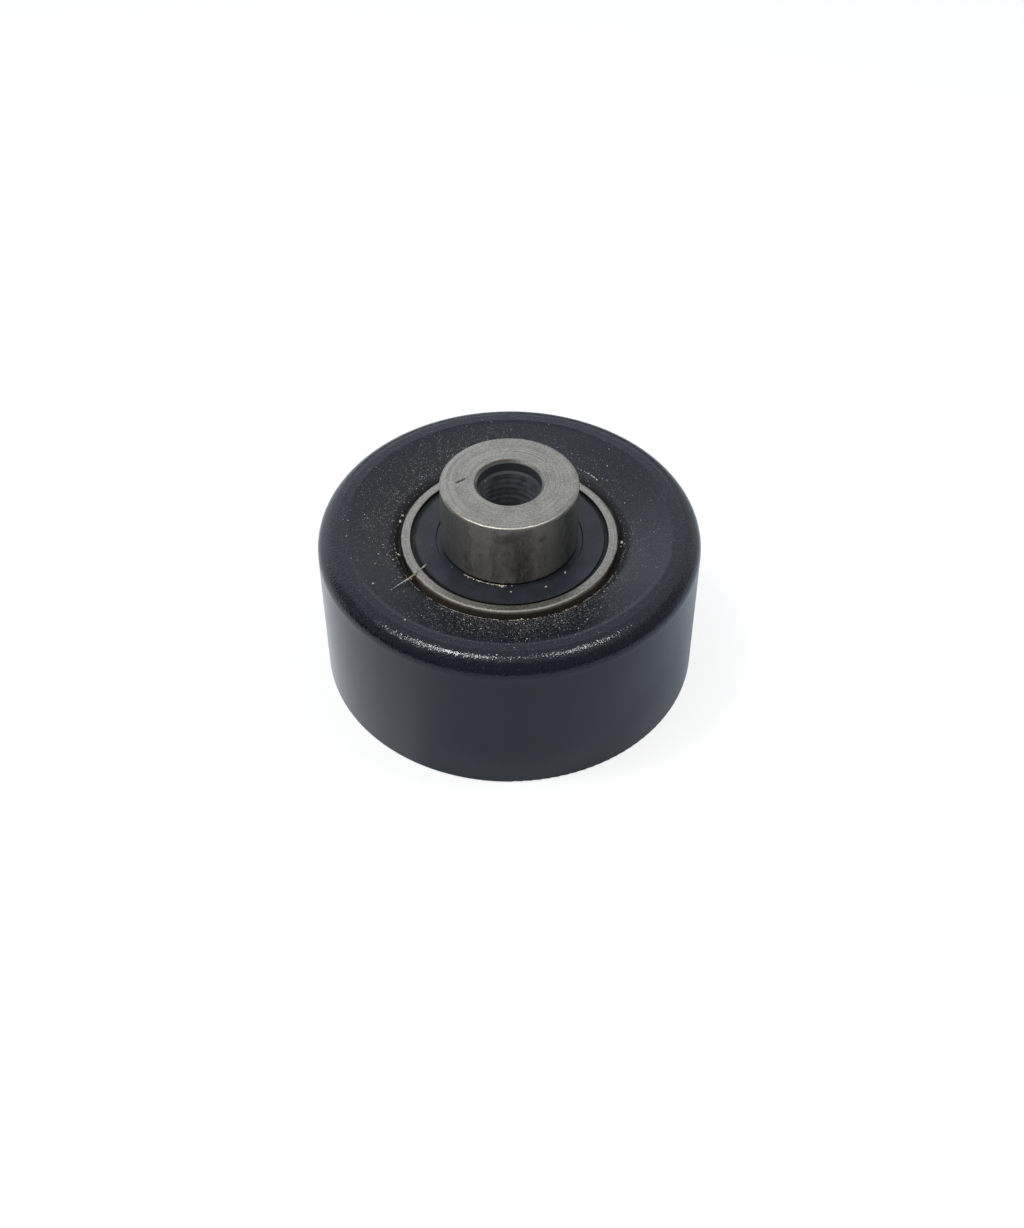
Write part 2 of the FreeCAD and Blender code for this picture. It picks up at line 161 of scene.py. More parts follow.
class Tree:
    """The nodes of a material or world, with a short call for each kind that they share."""

    def __init__(self, owner, output="OutputMaterial"):
        owner.use_nodes = True
        self.owner = owner
        self.nodes = owner.node_tree.nodes
        self.links = owner.node_tree.links
        self.nodes.clear()
        self.output = self.node(output)

    def put(self, socket, value):
        """Link a socket to another node's output, or set it to a plain value."""
        if isinstance(value, bpy.types.NodeSocket):
            self.links.new(value, socket)
        elif socket.type == "RGBA":
            socket.default_value = (*value, 1)
        else:
            socket.default_value = value

    def node(self, kind, sockets=None, **settings):
        made = self.nodes.new(f"ShaderNode{kind}")
        for name, value in settings.items():
            setattr(made, name, value)
        for name, value in (sockets or {}).items():
            self.put(made.inputs[name], value)
        return made

    def math(self, operation, *values, clamp=False):
        made = self.node("Math", operation=operation, use_clamp=clamp)
        for socket, value in zip(made.inputs, values):
            self.put(socket, value)
        return made.outputs[0]

    def chain(self, operation, values):
        result = values[0]
        for value in values[1:]:
            result = self.math(operation, result, value)
        return result

    def product(self, *values):
        return self.chain("MULTIPLY", values)

    def total(self, *values):
        return self.chain("ADD", values)

    def largest(self, *values):
        return self.chain("MAXIMUM", values)

    def map_range(self, kind, value, ends, results):
        made = self.node("MapRange", interpolation_type=kind)
        names = ("Value", "From Min", "From Max", "To Min", "To Max")
        for name, item in zip(names, (value, *ends, *results)):
            self.put(made.inputs[name], item)
        return made.outputs["Result"]

    def step(self, value, start, end):
        """A smooth step from 0 at start to 1 at end."""
        return self.map_range("SMOOTHSTEP", value, (start, end), (0.0, 1.0))

    def between(self, factor, low, high):
        """A number between low and high."""
        return self.map_range("LINEAR", factor, (0.0, 1.0), (low, high))

    def vector_math(self, operation, *values):
        made = self.node("VectorMath", operation=operation)
        for socket, value in zip(made.inputs, values):
            self.put(socket, value)
        scalar = operation in ("LENGTH", "DOT_PRODUCT", "DISTANCE")
        return made.outputs["Value" if scalar else "Vector"]

    def axis(self, vector, name):
        return self.node("SeparateXYZ", {"Vector": vector}).outputs[name]

    def place(self):
        return self.node("TexCoord").outputs["Object"]

    def polar(self):
        """Place in the frame, distance from the axis, height, and the direction out from the axis."""
        place = self.place()
        flat = self.vector_math("MULTIPLY", place, (1, 1, 0))
        radius = self.vector_math("LENGTH", flat)
        outward = self.vector_math("NORMALIZE", flat)
        return place, radius, self.axis(place, "Z"), outward

    def towards(self, outward, direction):
        """How far the outward direction points along another, from -1 to 1."""
        return self.vector_math("DOT_PRODUCT", outward, Vector((*direction, 0)).normalized())

    def facing_up(self):
        normal = self.node("TexCoord").outputs["Normal"]
        return self.step(self.axis(normal, "Z"), 0.1, 0.4)

    def noise(self, vector, size, detail=2.0, roughness=0.5):
        """Noise from 0 to 1 with blobs about size across."""
        return self.node("TexNoise", {"Vector": vector, "Scale": 1 / size, "Detail": detail,
                                      "Roughness": roughness}).outputs["Fac"]

    def turning(self, outward, along, size, sway=0.6):
        """Noise in fine rings round the axis, as a lathe leaves it."""
        rings = self.node("CombineXYZ", {"Z": self.math("DIVIDE", along, size)}).outputs[0]
        around = self.vector_math("MULTIPLY", outward, (sway, sway, sway))
        return self.noise(self.vector_math("ADD", rings, around), 1.0, detail=3.0, roughness=0.6)

    def specks(self, place, spacing, size, share):
        """Scattered specks up to size across, in a share of cells that are spacing across."""
        cells = self.node("TexVoronoi", {"Vector": place, "Scale": 1 / spacing})
        chance = self.node("SeparateColor", {"Color": cells.outputs["Color"]}).outputs["Red"]
        over = self.math("ADD", chance, self.math("SUBTRACT", share, 1.0))
        reach = self.math("MULTIPLY", self.math("MULTIPLY", over, 3.0, clamp=True), size / 2 / spacing)
        inside = self.math("SUBTRACT", reach, cells.outputs["Distance"])
        return self.math("MULTIPLY", inside, 5 * spacing / size, clamp=True)

    def dash(self, place, pixels, width, ragged=0.0):
        """1 along a line between two pixels of the photograph, fading to 0 at width from it."""
        start, end = [under_pixel(*pixel)[0] for pixel in pixels]
        along = end - start
        offset = self.vector_math("SUBTRACT", place, start)
        reached = self.vector_math("DOT_PRODUCT", offset, along)
        share = self.math("DIVIDE", reached, along.length_squared, clamp=True)
        distance = self.vector_math("DISTANCE", offset, self.vector_math("MULTIPLY", along, share))
        wander = self.math("SUBTRACT", self.noise(place, width / 2, 4.0), 0.5)
        return self.step(self.total(distance, self.product(wander, ragged * width)), width, width * 0.3)

    def mix(self, factor, first, second):
        """A colour between first and second."""
        made = self.node("Mix", data_type="RGBA")
        sockets = {socket.identifier: socket for socket in made.inputs}
        for name, value in (("Factor_Float", factor), ("A_Color", first), ("B_Color", second)):
            self.put(sockets[name], value)
        return next(socket for socket in made.outputs if socket.identifier == "Result_Color")

    def bump(self, height, depth, normal=None):
        """Bump whose height of 1 stands depth above the surface."""
        sockets = {"Height": height, "Distance": depth, "Strength": 1.0}
        if normal is not None:
            sockets["Normal"] = normal
        return self.node("Bump", sockets).outputs["Normal"]

    def surface(self, **sockets):
        """End in a Principled surface. Socket names have underscores for spaces."""
        named = {name.replace("_", " "): value for name, value in sockets.items()}
        shader = self.node("BsdfPrincipled", named)
        self.links.new(shader.outputs[0], self.output.inputs["Surface"])
        return self.owner


def new_tree(name):
    return Tree(bpy.data.materials.new(name))


# Colours of dust, the directions from the axis in which most of it lies, and how wide it spreads there
DUST_BROWN = (0.17, 0.140, 0.100)
DUST_PALE = (0.50, 0.50, 0.485)
DUSTY_FRONT = (0.05, -1.0)
DUSTY_BACK = (-0.75, 0.66)
FRONT_SPREAD = (0.6, 0.95)
BACK_SPREAD = (0.2, 0.9)

# Where steps on the shell's coat start and end, in radius or height
SHOULDER_INSIDE = (RIM_RADIUS - 3.9 * MM, RIM_RADIUS - 2.6 * MM)
SHOULDER_FOOT = (LAND_HEIGHT - 4.4 * MM, LAND_HEIGHT - 2.9 * MM)
LIP_OUTSIDE = (RING_RADIUS + 2.6 * MM, RING_RADIUS + 1.7 * MM)
LIP_FOOT = (BEARING_TOP - 4 * MM, BEARING_TOP - 3 * MM)
DISH_OUTSIDE = (LAND_EDGE + 0.3 * MM, LAND_EDGE - 1.0 * MM)
NEAR_RING = (LAND_EDGE, RING_RADIUS + 1.5 * MM)

COAT_TONES = ((0.0058, 0.0082, 0.0130), (0.0084, 0.0112, 0.0168))
COAT_TOP = (0.0, 0.002, 0.007)
COAT_MOTTLE = (0.12, 0.125, 0.13)
COAT_FILM = (0.10, 0.080, 0.056)
# Grime on the lip round the ring, with painted shade where the groove's shade falls
LIP_GRIME_AND_SHADE = (0.005, 0.005, 0.005)


def coat_dust(tree, place, radius, outward, top, lip):
    """Masks of specks of dust, a brown film and a pale mottle on the shell's top."""
    dish = tree.product(top, tree.step(radius, *DISH_OUTSIDE))
    near_ring = tree.step(radius, *NEAR_RING)
    front = tree.step(tree.towards(outward, DUSTY_FRONT), *FRONT_SPREAD)
    back = tree.step(tree.towards(outward, DUSTY_BACK), *BACK_SPREAD)
    share = tree.total(0.35, tree.largest(tree.product(front, 0.5), tree.product(back, 0.3)))
    patches = tree.between(tree.step(tree.noise(place, 5 * MM, 3.0), 0.35, 0.7), 0.6, 1.25)
    lying = tree.total(tree.product(dish, tree.between(near_ring, 0.5, 1.0)), tree.product(top, 0.3))
    bare = tree.math("SUBTRACT", 1.0, tree.math("SUBTRACT", lip, front, clamp=True))
    density = tree.product(lying, share, patches, bare)
    fine = tree.specks(place, 0.32 * MM, 0.30 * MM, tree.product(density, 0.9))
    coarse = tree.specks(place, 1.0 * MM, 0.45 * MM, tree.product(density, 0.5))
    dust = tree.largest(tree.product(fine, 0.22), tree.product(coarse, 0.4))
    film = tree.product(dish, near_ring, share, bare, tree.noise(place, 0.5 * MM, 4.0, 0.7), 0.035)
    mottle = tree.product(top, tree.step(tree.noise(place, 0.3 * MM, 2.0), 0.5, 0.7),
                          tree.between(front, 0.17, 0.10))
    return dust, film, mottle


def shell_coat():
    """Satin black coat, with orange peel on the bends, grime and painted shade on the lip, and dust that
    gathers in the dish.
    """
    tree = new_tree("shell_coat")
    place, radius, height, outward = tree.polar()
    top = tree.facing_up()
    shoulder = tree.product(tree.step(radius, *SHOULDER_INSIDE), tree.step(height, *SHOULDER_FOOT))
    wander = tree.math("SUBTRACT", tree.noise(place, 1.2 * MM, 4.0), 0.5)
    ragged = tree.total(radius, tree.product(wander, 1.6 * MM))
    lip = tree.product(tree.step(ragged, *LIP_OUTSIDE), tree.step(height, *LIP_FOOT))
    dust, film, mottle = coat_dust(tree, place, radius, outward, top, lip)

    tone = tree.mix(tree.noise(place, 9 * MM, 3.0), *COAT_TONES)
    tone = tree.mix(tree.product(top, 0.5), tone, COAT_TOP)
    tone = tree.mix(mottle, tone, COAT_MOTTLE)
    tone = tree.mix(film, tone, COAT_FILM)
    # The lip is darkened with grime and with painted shade from the groove.
    tone = tree.mix(tree.product(lip, 0.9), tone, LIP_GRIME_AND_SHADE)
    tone = tree.mix(dust, tone, tree.mix(tree.noise(place, 0.5 * MM), DUST_BROWN, DUST_PALE))

    sheen = tree.total(tree.between(tree.noise(place, 4 * MM, 4.0), 0.15, 0.21), tree.product(top, 0.12))
    gloss = tree.between(tree.step(tree.noise(place, 2.2 * MM, 2.0), 0.4, 0.6), 0.08, 0.17)
    sheen = tree.between(shoulder, sheen, gloss)
    roughness = tree.total(sheen, tree.product(tree.total(dust, film), 0.5), tree.product(lip, 0.4))

    small_peel = tree.product(tree.noise(place, 0.25 * MM, 1.0), 0.25)
    peel = tree.total(tree.noise(place, 0.5 * MM, 1.5), small_peel)
    bends = tree.largest(shoulder, lip)
    grain = tree.product(peel, tree.total(0.1, tree.product(top, 0.15), tree.product(bends, 0.55)))
    normal = tree.bump(grain, 0.08 * MM)
    normal = tree.bump(dust, 0.05 * MM, normal)
    return tree.surface(Base_Color=tone, Roughness=roughness, Specular_IOR_Level=0.42, Normal=normal)


SEAL_TONES = ((0.0090, 0.0120, 0.0165), (0.0190, 0.0240, 0.0315))
# Painted shade in the gap between the ring and the seal
SEAL_GAP_SHADE = (0.004, 0.004, 0.004)
SEAL_BROWN = (0.036, 0.030, 0.022)
# How far inside the ring's outside the painted shade on the seal's edge reaches, on the left and on the
# right
SEAL_SHADE_REACH = (3.15 * MM, 2.8 * MM)
# Pixels of the photograph at the ends of a brown stain on the seal's edge
SEAL_STAIN = ((416, 536.5), (417, 543.5))


def seal_rubber():
    """Smooth moulded rubber with a little dust, painted shade along the ring and one brown stain."""
    tree = new_tree("seal_rubber")
    place, radius, _, outward = tree.polar()
    dust = tree.specks(place, 1.0 * MM, 0.3 * MM, 0.28)
    fine = tree.noise(place, 0.4 * MM, 3.0)
    blend = tree.total(tree.product(tree.noise(place, 3 * MM, 3.0), 0.5), tree.product(fine, 0.5))
    tone = tree.mix(tree.step(blend, 0.35, 0.65), *SEAL_TONES)
    reach = tree.between(tree.step(tree.towards(outward, (1, 0)), -0.2, 0.8), *SEAL_SHADE_REACH)
    wander = tree.product(tree.math("SUBTRACT", fine, 0.5), 0.5 * MM)
    edge = tree.step(tree.total(radius, reach, wander), RING_RADIUS, RING_RADIUS + 0.35 * MM)
    # Painted shade darkens the seal along the ring, wider on the left.
    tone = tree.mix(tree.product(edge, 0.85), tone, SEAL_GAP_SHADE)
    stain = tree.dash(place, SEAL_STAIN, 0.85 * MM, 1.7)
    tone = tree.mix(tree.product(stain, 0.8), tone, SEAL_BROWN)
    tone = tree.mix(tree.product(dust, 0.6), tone, DUST_PALE)
    roughness = tree.total(tree.between(fine, 0.34, 0.44), tree.product(tree.largest(dust, edge), 0.35))
    texture = tree.total(tree.noise(place, 0.18 * MM, 2.0), tree.turning(outward, radius, 0.25 * MM))
    normal = tree.bump(texture, 0.005 * MM)
    return tree.surface(Base_Color=tone, Roughness=roughness, Specular_IOR_Level=0.38, Normal=normal)


RING_TONES = ((0.232, 0.224, 0.190), (0.405, 0.395, 0.342))
RING_FLECK = (0.12, 0.085, 0.065)
RING_CORNER_SHADE = (0.15, 0.140, 0.125)
RING_BROWN = ((0.050, 0.042, 0.033), (0.14, 0.118, 0.092))
RING_SHADE = (0.013, 0.011, 0.010)
# Radii between which the ring's corner gets painted shade at the front and its side begins
CORNER_BAND = (RING_RADIUS - 0.7 * MM, RING_RADIUS - 0.35 * MM)
SIDE_BAND = (RING_RADIUS - 0.38 * MM, RING_RADIUS - 0.12 * MM)


def ring_steel():
    """Ground bearing steel, bright on the faces, with painted shade on the corner at the front, and an
    outside browned at the front and dark behind.
    """
    tree = new_tree("ring_steel")
    place, radius, height, outward = tree.polar()
    rings = tree.turning(outward, tree.total(radius, height), 0.09 * MM)
    cloud = tree.noise(place, 1.6 * MM, 4.0)
    scuffs = tree.product(tree.noise(place, 0.5 * MM, 4.0, 0.7), 0.65)
    scuffs = tree.total(scuffs, tree.product(rings, 0.35))
    tone = tree.mix(tree.step(scuffs, 0.4, 0.6), *RING_TONES)
    flecks = tree.specks(place, 0.7 * MM, 0.25 * MM, 0.4)
    tone = tree.mix(tree.product(flecks, 0.5), tone, RING_FLECK)
    front = tree.step(tree.towards(outward, (0, -1)), 0.3, 0.7)
    corner = tree.product(front, tree.step(radius, *CORNER_BAND))
    # Painted shade dims the highlight on the ring's front corner.
    tone = tree.mix(tree.product(corner, 0.4), tone, RING_CORNER_SHADE)
    ragged = tree.total(radius, tree.product(tree.math("SUBTRACT", cloud, 0.5), 0.4 * MM))
    side = tree.step(ragged, *SIDE_BAND)
    brown = tree.mix(tree.noise(place, 0.7 * MM, 4.0), *RING_BROWN)
    brown = tree.mix(front, RING_SHADE, brown)
    tone = tree.mix(side, tone, brown)
    roughness = tree.total(tree.between(rings, 0.26, 0.38), tree.product(corner, 0.25))
    return tree.surface(Base_Color=tone, Metallic=tree.between(side, 1.0, 0.15), Roughness=roughness,
                        Normal=tree.bump(rings, 0.004 * MM))


BUSH_TONES = ((0.228, 0.218, 0.186), (0.402, 0.388, 0.338))
PIT_DARK = (0.07, 0.06, 0.05)
NICK_BROWN = (0.060, 0.035, 0.030)
SMUDGE_BROWN = (0.055, 0.042, 0.036)
# The film on the collar's side, with painted light at the front and painted shade at the right
FILM_LEFT = (0.125, 0.130, 0.142)
FILM_FRONT_LIT = (0.360, 0.335, 0.295)
FILM_RIGHT_SHADED = (0.062, 0.065, 0.072)
SMEAR_DARK = (0.12, 0.110, 0.093)
RUST_BROWN = (0.045, 0.026, 0.019)
# The oil in the bore, with painted shade at the mouth and on the ledge, painted light deeper on the thread,
# and a painted glint along a scrape
OIL_MOUTH_SHADE = (0.060, 0.065, 0.072)
OIL_DEEP_LIT = (0.165, 0.180, 0.198)
OIL_LEDGE_SHADE = (0.035, 0.038, 0.043)
OIL_BLOTCH = (0.052, 0.060, 0.066)
SCRAPE_GLINT = (0.30, 0.26, 0.24)
# Pixels of the photograph at the ends of marks on the bush
NICK = ((457, 482.3), (464.5, 478.8))
# A scrape in the bore with a painted glint along it
SCRAPE_GLINT_LINE = ((485.6, 481), (483.8, 495))
SMUDGE = ((501, 461.2), (509.5, 461))
SMEAR = ((512, 541), (514, 570))
RUST = ((500, 540), (527, 535))
RUST_SPECK = ((541, 540), (545, 537.5))
# Direction from the axis in which the bore's mouth is smudged
SMUDGED = (-0.9, 0.45)


def side_film_and_light(tree, place, outward, on_side, grain, tone):
    """Masks of the collar's film and rust, and the tone with both and a dark smear at the front; the film
    carries painted light at the front and painted shade at the right.
    """
    sideways = tree.towards(outward, (1, 0))
    # Painted light on the film at the front, painted shade on it at the right.
    stain = tree.mix(tree.step(sideways, -0.85, -0.4), FILM_LEFT, FILM_FRONT_LIT)
    stain = tree.mix(tree.step(sideways, 0.38, 0.88), stain, FILM_RIGHT_SHADED)
    bands = tree.noise(outward, 0.3, 2.0)
    streaks = tree.noise(tree.vector_math("MULTIPLY", place, (1, 1, 0.5)), 0.9 * MM, 5.0, 0.7)
    cover = tree.total(-0.68, tree.product(tree.step(bands, 0.3, 0.7), 0.65),
                       tree.product(tree.step(streaks, 0.3, 0.7), 0.6), tree.product(grain, 1.3))
    film = tree.math("MULTIPLY", on_side, cover, clamp=True)
    tone = tree.mix(film, tone, stain)
    smear = tree.dash(place, SMEAR, 2.4 * MM, 1.0)
    tone = tree.mix(tree.product(smear, 0.42), tone, SMEAR_DARK)
    rust = tree.largest(tree.dash(place, RUST, 1.5 * MM, 1.6), tree.dash(place, RUST_SPECK, 0.6 * MM, 1.2))
    tone = tree.mix(tree.product(rust, streaks, 0.9), tone, RUST_BROWN)
    return film, rust, tone


def bore_oil_light_and_shade(tree, place, height):
    """Colour of the oily bore: painted shade at the mouth and on the ledge, painted light that makes the
    thread paler, blotches on the thread, and a painted glint along a scrape.
    """
    ledge_top = THREAD_TOP + COUNTERBORE_REACH
    ledge = tree.product(tree.step(height, THREAD_TOP - 0.2 * MM, THREAD_TOP),
                         tree.step(height, ledge_top + 0.2 * MM, ledge_top))
    # Painted shade at the mouth, painted light deeper down on the thread.
    oil = tree.mix(tree.step(height, ledge_top, THREAD_TOP), OIL_MOUTH_SHADE, OIL_DEEP_LIT)
    # Painted shade on the ledge.
    oil = tree.mix(tree.product(ledge, 0.85), oil, OIL_LEDGE_SHADE)
    blotches = tree.step(tree.noise(place, 1.4 * MM, 3.0), 0.42, 0.62)
    oil = tree.mix(tree.product(blotches, 0.6), oil, OIL_BLOTCH)
    # A painted glint along a scrape in the bore.
    return tree.mix(tree.dash(place, SCRAPE_GLINT_LINE, 0.28 * MM), oil, SCRAPE_GLINT)


def bush_steel():
    """Turned steel: tool marks round the axis, a filmed side, a nick in the face and an oily bore."""
    tree = new_tree("bush_steel")
    place, radius, height, outward = tree.polar()
    on_face = tree.facing_up()
    on_side = tree.step(on_face, 0.6, 0.1)
    face_marks = tree.turning(outward, radius, 0.16 * MM)
    side_marks = tree.turning(outward, height, 0.12 * MM, 3.0)
    marks = tree.between(on_face, side_marks, face_marks)
    grain = tree.noise(place, 0.34 * MM, 4.0, 0.7)
    cloud = tree.noise(place, 3 * MM, 3.0)
    shown = tree.between(tree.step(tree.noise(place, 5 * MM), 0.4, 0.6), 0.2, 0.42)
    blend = tree.total(tree.product(tree.math("SUBTRACT", marks, 0.5), shown), 0.2,
                       tree.product(grain, 0.45), tree.product(cloud, 0.15))
    tone = tree.mix(tree.step(blend, 0.41, 0.59), *BUSH_TONES)
    film, rust, tone = side_film_and_light(tree, place, outward, on_side, grain, tone)

    pits = tree.specks(place, 0.8 * MM, 0.16 * MM, 0.4)
    tone = tree.mix(tree.product(pits, 0.5), tone, PIT_DARK)
    nick = tree.dash(place, NICK, 0.36 * MM, 0.9)
    tone = tree.mix(tree.product(nick, 0.85), tone, NICK_BROWN)
    mouth = MINOR_RADIUS + COUNTERBORE_REACH
    rim_edge = mouth + COUNTERSINK
    rim = tree.product(tree.step(radius, rim_edge + 0.15 * MM, rim_edge - 0.1 * MM),
                       tree.step(tree.towards(outward, SMUDGED), -0.1, 0.6), tree.step(cloud, 0.2, 0.5))
    smudge = tree.largest(rim, tree.dash(place, SMUDGE, 0.45 * MM, 2.2))
    tone = tree.mix(tree.product(smudge, 0.9), tone, SMUDGE_BROWN)
    bore = tree.step(radius, mouth + 0.25 * MM, mouth)
    tone = tree.mix(bore, tone, bore_oil_light_and_shade(tree, place, height))

    dirty = tree.largest(film, rust, smudge)
    roughness = tree.total(tree.between(marks, 0.33, 0.45), tree.product(tree.largest(dirty, bore), 0.14))
    metal = tree.math("SUBTRACT", tree.between(dirty, 1.0, 0.4), bore, clamp=True)
    normal = tree.bump(marks, 0.012 * MM)
    normal = tree.bump(tree.total(pits, nick), -0.05 * MM, normal)
    return tree.surface(Base_Color=tone, Metallic=metal, Roughness=roughness, Normal=normal)


BALL_TONES = ((0.56, 0.56, 0.57), (0.64, 0.64, 0.65))


def ball_steel():
    """Polished ball steel with a faint haze."""
    tree = new_tree("ball_steel")
    haze = tree.noise(tree.place(), 1.5 * MM, 3.0)
    tone = tree.mix(haze, *BALL_TONES)
    return tree.surface(Base_Color=tone, Metallic=1.0, Roughness=tree.between(haze, 0.08, 0.16))


CAGE_TONES = ((0.36, 0.35, 0.32), (0.50, 0.49, 0.46))


def cage_steel():
    """Pressed strip steel with drawing marks and a film of grease."""
    tree = new_tree("cage_steel")
    place, radius, _, outward = tree.polar()
    marks = tree.turning(outward, radius, 0.12 * MM)
    tone = tree.mix(tree.noise(place, 1.8 * MM, 3.0), *CAGE_TONES)
    return tree.surface(Base_Color=tone, Metallic=1.0, Roughness=tree.between(marks, 0.25, 0.45),
                        Normal=tree.bump(marks, 0.003 * MM))


# Darkest and palest colour of each kind of loose dirt
GRIME_TONES = ((0.006, 0.0055, 0.005), (0.022, 0.018, 0.014))
FINE_TONES = ((0.035, 0.030, 0.023), (0.31, 0.285, 0.240))
PALE_TONES = (DUST_BROWN, DUST_PALE)
CRUMB_TONES = ((0.44, 0.37, 0.22), (0.74, 0.71, 0.61))


def dirt(name, tones, size):
    """Dry dirt whose colour wanders from grain to grain."""
    tree = new_tree(name)
    place = tree.place()
    tone = tree.mix(tree.step(tree.noise(place, size, 3.0), 0.3, 0.7), *tones)
    rough = tree.between(tree.noise(place, 0.3 * MM, 2.0), 0.75, 0.95)
    normal = tree.bump(tree.noise(place, 0.15 * MM, 3.0), 0.03 * MM)
    return tree.surface(Base_Color=tone, Roughness=rough, Normal=normal)


STRAW_TONES = ((0.25, 0.24, 0.21), (0.46, 0.44, 0.39))
STRAW_BROWN = (0.22, 0.162, 0.090)
# Radii between which the straw turns brown, coming from its outer and from its inner end
BROWN_OUTSIDE = (RING_RADIUS + 1.9 * MM, RING_RADIUS + 1.4 * MM)
BROWN_INSIDE = (RING_RADIUS - 1.4 * MM, RING_RADIUS - 0.5 * MM)


def straw_fibre():
    """Dry straw, pale at its ends and brown where it crosses the groove and the ring."""
    tree = new_tree("straw_fibre")
    place, radius, _, _ = tree.polar()
    fleck = tree.noise(place, 0.5 * MM, 3.0)
    pale = tree.mix(fleck, *STRAW_TONES)
    ragged = tree.total(radius, tree.product(tree.math("SUBTRACT", fleck, 0.5), 0.8 * MM))
    brown = tree.product(tree.step(ragged, *BROWN_OUTSIDE), tree.step(ragged, *BROWN_INSIDE))
    tone = tree.mix(tree.product(brown, 0.85), pale, STRAW_BROWN)
    return tree.surface(Base_Color=tone, Roughness=tree.between(fleck, 0.6, 0.85),
                        Normal=tree.bump(fleck, 0.03 * MM))


WHITE = (1.0, 1.0, 1.0)
BLACK = (0.0, 0.0, 0.0)
PAPER_NEAR = (0.51, 0.56, 0.63)
PAPER_FRONT_SHADE = (0.20, 0.21, 0.23)
PAPER_SHADOW = (0.24, 0.24, 0.24)
PAPER_MIRRORED = (0.94, 1.0, 1.07)
CAMERA_GLOW = 0.80
# Point on the floor from which rays reflected by the running face's left side fan out, and their middle
FAN = Vector((-13.0, -27.0, 0.0)) * MM
FAN_LEFT = (-0.55, 0.83)


def floor_paper():
    """White paper: the camera sees a light shadow on it; reflections see painted shade far in front, and
    painted light that is palest at left and lifts the shadow near the rim's foot.
    """
    tree = new_tree("floor_paper")
    path = tree.node("LightPath")
    camera = path.outputs["Is Camera Ray"]
    mirrored = tree.largest(path.outputs["Is Glossy Ray"], path.outputs["Is Transmission Ray"])
    place = tree.place()
    across = tree.axis(place, "X")
    depth = tree.axis(place, "Y")
    distance = tree.vector_math("LENGTH", place)
    front = tree.product(tree.step(distance, 85 * MM, 200 * MM), tree.step(depth, 40 * MM, -20 * MM))
    fan = tree.vector_math("NORMALIZE", tree.vector_math("SUBTRACT", place, FAN))
    left = tree.product(tree.step(tree.towards(fan, FAN_LEFT), -0.65, 0.25),
                        tree.step(across, 0.0, -20 * MM))
    # For reflections, painted shade on the paper far in front.
    white = tree.mix(front, PAPER_NEAR, PAPER_FRONT_SHADE)
    white = tree.mix(tree.product(left, mirrored), white, BLACK)
    paper = tree.node("BsdfDiffuse", {"Color": tree.mix(camera, white, PAPER_SHADOW)})
    # For reflections, painted light glows near the rim's foot and on the left.
    foot = tree.product(tree.step(distance, RIM_RADIUS + 8 * MM, RIM_RADIUS + 1 * MM),
                        tree.step(depth, -12 * MM, -24 * MM))
    pale = tree.between(left, tree.between(foot, 0.14, 0.27), 0.89)
    shine = tree.product(mirrored, tree.step(front, 1.0, 0.0), pale)
    strength = tree.total(tree.product(camera, CAMERA_GLOW), shine)
    tint = tree.mix(mirrored, WHITE, PAPER_MIRRORED)
    glow = tree.node("Emission", {"Color": tint, "Strength": strength})
    both = tree.node("AddShader")
    tree.links.new(paper.outputs[0], both.inputs[0])
    tree.links.new(glow.outputs[0], both.inputs[1])
    tree.links.new(both.outputs[0], tree.output.inputs["Surface"])
    return tree.owner


# Pieces

def give(material, *names):
    """Dress CAD nodes in a material."""
    for name in names:
        slots = nodes[name].data.materials
        slots.clear()
        slots.append(material)


def new_piece(name, mesh, material, body, smooth_angle=30):
    """A mesh that rides on a body, smooth except at edges sharper than smooth_angle degrees."""
    piece = bpy.data.objects.new(name, mesh)
    bpy.context.scene.collection.objects.link(piece)
    mesh.materials.append(material)
    mesh.shade_smooth()
    mesh.set_sharp_from_angle(angle=math.radians(smooth_angle))
    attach(piece, body)
    return piece


def to_mesh(name, shape):
    bmesh.ops.recalc_face_normals(shape, faces=shape.faces)
    mesh = bpy.data.meshes.new(name)
    shape.to_mesh(mesh)
    shape.free()
    return mesh


def join_rings(name, rings, closed=True):
    """A mesh through rings of points; it ends in caps unless the last ring joins the first."""
    shape = bmesh.new()
    rows = [[shape.verts.new(point) for point in ring] for ring in rings]
    count = len(rows[0])
    pairs = list(zip(rows, rows[1:]))
    if closed:
        pairs.append((rows[-1], rows[0]))
    else:
        shape.faces.new(rows[0])
        shape.faces.new(rows[-1])
    for lower, upper in pairs:
        for i in range(count):
            after = (i + 1) % count
            shape.faces.new((lower[i], lower[after], upper[after], upper[i]))
    bmesh.ops.remove_doubles(shape, verts=shape.verts, dist=1e-3 * MM)
    return to_mesh(name, shape)


def around(radius, height, angle):
    """A point at a distance from the axis, a height and an angle."""
    return Vector((radius * math.cos(angle), radius * math.sin(angle), height))


def ease(value, start=0.0, end=1.0):
    """A smooth step from 0 at start to 1 at end."""
    share = min(max((value - start) / (end - start), 0.0), 1.0)
    return share * share * (3 - 2 * share)


BUSH_COLUMNS = 160
ROUNDING_STEPS = 8
# Share of a turn, and how deep the thread is there: crest, flank, root, flank
THREAD_KNOTS = ((0.0, 0.0), (0.25, 0.0), (0.5625, 1.0), (0.6875, 1.0))
THREAD_RUN_IN = 1.2 * MM


def thread_rings(low, high):
    """Rings of the bore's wall from low to high, following a right-hand helix."""
    turns = math.ceil((high - low) / THREAD_PITCH) + 1
    rings = []
    for turn in range(turns + 1):
        for share, depth in THREAD_KNOTS:
            ring = []
            for column in range(BUSH_COLUMNS):
                climb = turn - 1 + share + column / BUSH_COLUMNS
                height = min(max(low + climb * THREAD_PITCH, low), high)
                inside = min(high - height, height - low)
                radius = MINOR_RADIUS + THREAD_DEPTH * depth * ease(inside / THREAD_RUN_IN)
                ring.append(around(radius, height, math.tau * column / BUSH_COLUMNS))
            rings.append(ring)
    return rings


